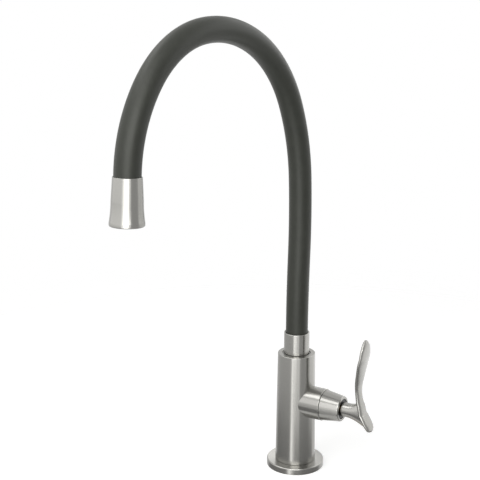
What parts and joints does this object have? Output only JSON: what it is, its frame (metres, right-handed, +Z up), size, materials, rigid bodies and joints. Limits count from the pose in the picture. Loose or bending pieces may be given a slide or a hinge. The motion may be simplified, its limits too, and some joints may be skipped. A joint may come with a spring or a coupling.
{
  "type": "flexible kitchen faucet",
  "caption": "Deck-mounted pillar faucet with a quarter-turn side lever and a tall bendable hose spout that swivels and ends in a slim metal outlet.",
  "frame": {"origin": "centre of the deck hole on the deck's top face, which is the flange's underside", "axes": "+Z up along the pillar, -Y the way the spout reaches at rest, +X toward the lever, whose stem is turned back from it by 6 degrees"},
  "size_m": [0.1131, 0.2817, 0.506],
  "materials": {
    "satin_steel": "satin, finely brushed round the axis",
    "gooseneck_steel": "plain wound strip",
    "brass": "as machined",
    "black_rubber": "matt moulded",
    "tube_rubber": "matt extruded",
    "grey_silicone": "dull dark olive grey, extruded",
    "alumina": "lapped",
    "black_plastic": "matt moulded",
    "grey_plastic": "matt moulded"
  },
  "bodies": {
    "pillar": {"base_flange": "satin_steel", "deck_gasket": "black_rubber", "threaded_shank": "brass", "shank_seal": "black_rubber", "rubber_washer": "black_rubber", "steel_washer": "satin_steel", "lock_nut": "brass", "pillar_body": "satin_steel", "glide_ring": "grey_plastic", "seat_seal": "black_rubber", "fixed_ceramic_disc": "alumina", "cartridge_housing": "brass", "housing_o_ring": "black_rubber", "bonnet_nut": "satin_steel", "stem_bush": "black_plastic"},
    "lever": {"moving_ceramic_disc": "alumina", "cartridge_spindle": "brass", "spindle_o_ring": "black_rubber", "lever_handle": "satin_steel", "lever_set_screw": "satin_steel"},
    "spout_base": {"swivel_nipple": "brass", "nipple_o_ring_1": "black_rubber", "nipple_o_ring_2": "black_rubber", "snap_ring": "satin_steel", "spout_collar": "satin_steel", "hose_sleeve_1": "grey_silicone", "gooseneck_1": "gooseneck_steel", "water_tube_1": "tube_rubber"},
    "hose_section_2": {"hose_sleeve_2": "grey_silicone", "gooseneck_2": "gooseneck_steel", "water_tube_2": "tube_rubber"},
    "hose_section_3": {"hose_sleeve_3": "grey_silicone", "gooseneck_3": "gooseneck_steel", "water_tube_3": "tube_rubber"},
    "hose_section_4": {"hose_sleeve_4": "grey_silicone", "gooseneck_4": "gooseneck_steel", "water_tube_4": "tube_rubber"},
    "hose_section_5": {"hose_sleeve_5": "grey_silicone", "gooseneck_5": "gooseneck_steel", "water_tube_5": "tube_rubber"},
    "hose_section_6": {"hose_sleeve_6": "grey_silicone", "gooseneck_6": "gooseneck_steel", "water_tube_6": "tube_rubber"},
    "hose_section_7": {"hose_sleeve_7": "grey_silicone", "gooseneck_7": "gooseneck_steel", "water_tube_7": "tube_rubber", "outlet_ferrule": "satin_steel", "outlet_connector": "brass", "aerator_washer": "black_rubber", "aerator_housing": "satin_steel", "aerator_insert": "black_plastic"}
  },
  "joints": [
    {"name": "lever_turn", "type": "hinge", "parent": "pillar", "child": "lever", "pos_m": [0, 0, 0.0708], "axis": [0.9945, 0.1045, 0], "range_deg": [0, 90]},
    {"name": "spout_swivel", "type": "hinge", "parent": "pillar", "child": "spout_base", "pos_m": [0, 0, 0.1185], "axis": [0, 0, 1], "continuous": true},
    {"name": "hose_bend_1", "type": "hinge", "parent": "spout_base", "child": "hose_section_2", "pos_m": [0, 0.00202, 0.21911], "axis": [0, 0.9986, -0.0523], "range_deg": [-15, 15]},
    {"name": "hose_bend_2", "type": "hinge", "parent": "hose_section_2", "child": "hose_section_3", "pos_m": [0, 0.00202, 0.29622], "axis": [1, 0, 0], "range_deg": [-15, 15]},
    {"name": "hose_bend_3", "type": "hinge", "parent": "hose_section_3", "child": "hose_section_4", "pos_m": [0, -0.01653, 0.37061], "axis": [1, 0, 0], "range_deg": [-15, 15]},
    {"name": "hose_bend_4", "type": "hinge", "parent": "hose_section_4", "child": "hose_section_5", "pos_m": [0, -0.06871, 0.4256], "axis": [0, 0.4695, 0.8829], "range_deg": [-15, 15]},
    {"name": "hose_bend_5", "type": "hinge", "parent": "hose_section_5", "child": "hose_section_6", "pos_m": [0, -0.14339, 0.43944], "axis": [1, 0, 0], "range_deg": [-15, 15]},
    {"name": "hose_bend_6", "type": "hinge", "parent": "hose_section_6", "child": "hose_section_7", "pos_m": [0, -0.20922, 0.40295], "axis": [1, 0, 0], "range_deg": [-15, 15]}
  ]
}
